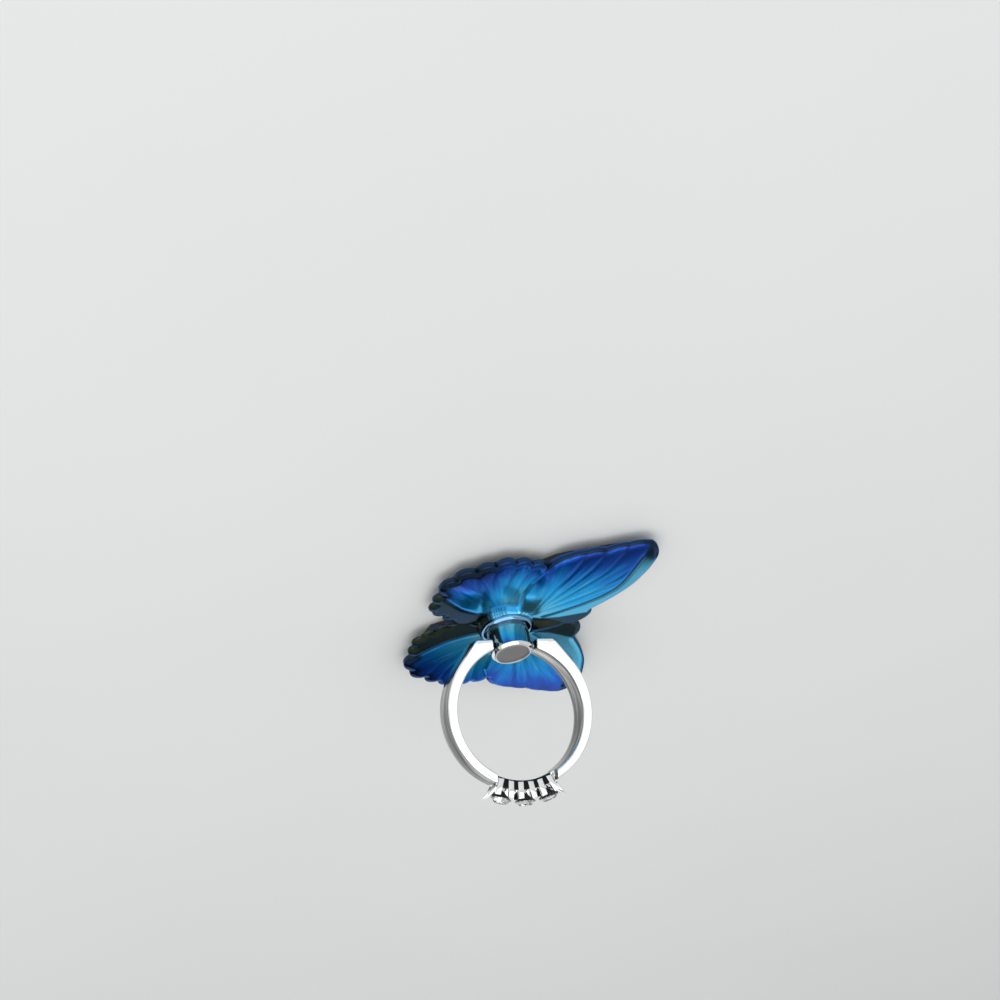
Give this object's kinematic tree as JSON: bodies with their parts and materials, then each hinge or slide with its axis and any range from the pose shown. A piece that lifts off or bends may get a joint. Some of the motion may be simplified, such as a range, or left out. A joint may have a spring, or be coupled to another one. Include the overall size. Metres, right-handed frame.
{
  "type": "phone ring holder",
  "caption": "Stick-on butterfly base with a swivelling post and a fold-down finger ring set with cut stones, for holding or propping up a hand-held device.",
  "frame": {"origin": "on the swivel axis, on the adhesive face under the butterfly", "axes": "+Z out of the surface it is stuck to; +X along the butterfly's body, toward its head; +Y across its wings"},
  "size_m": [0.0333, 0.0448, 0.0295],
  "materials": {
    "adhesive_foam": "matte",
    "blue_resin": "gloss",
    "chrome": "polished",
    "steel": "satin",
    "clear_stone": "polished"
  },
  "bodies": {
    "base": {"adhesive_pad": "adhesive_foam", "butterfly_base": "blue_resin", "swivel_bush": "chrome"},
    "post": {"swivel_post": "chrome", "disc_spring": "steel", "retaining_washer": "steel", "hinge_pin": "steel"},
    "ring": {"finger_ring": "chrome", "stone_left": "clear_stone", "stone_centre": "clear_stone", "stone_right": "clear_stone"}
  },
  "joints": [
    {"name": "post_swivel", "type": "hinge", "parent": "base", "child": "post", "pos_m": [0, 0, 0.003], "axis": [0, 0, 1], "continuous": true},
    {"name": "ring_fold", "type": "hinge", "parent": "post", "child": "ring", "pos_m": [0, 0, 0.00635], "axis": [1, 0, 0], "range_deg": [-112, 68]}
  ]
}
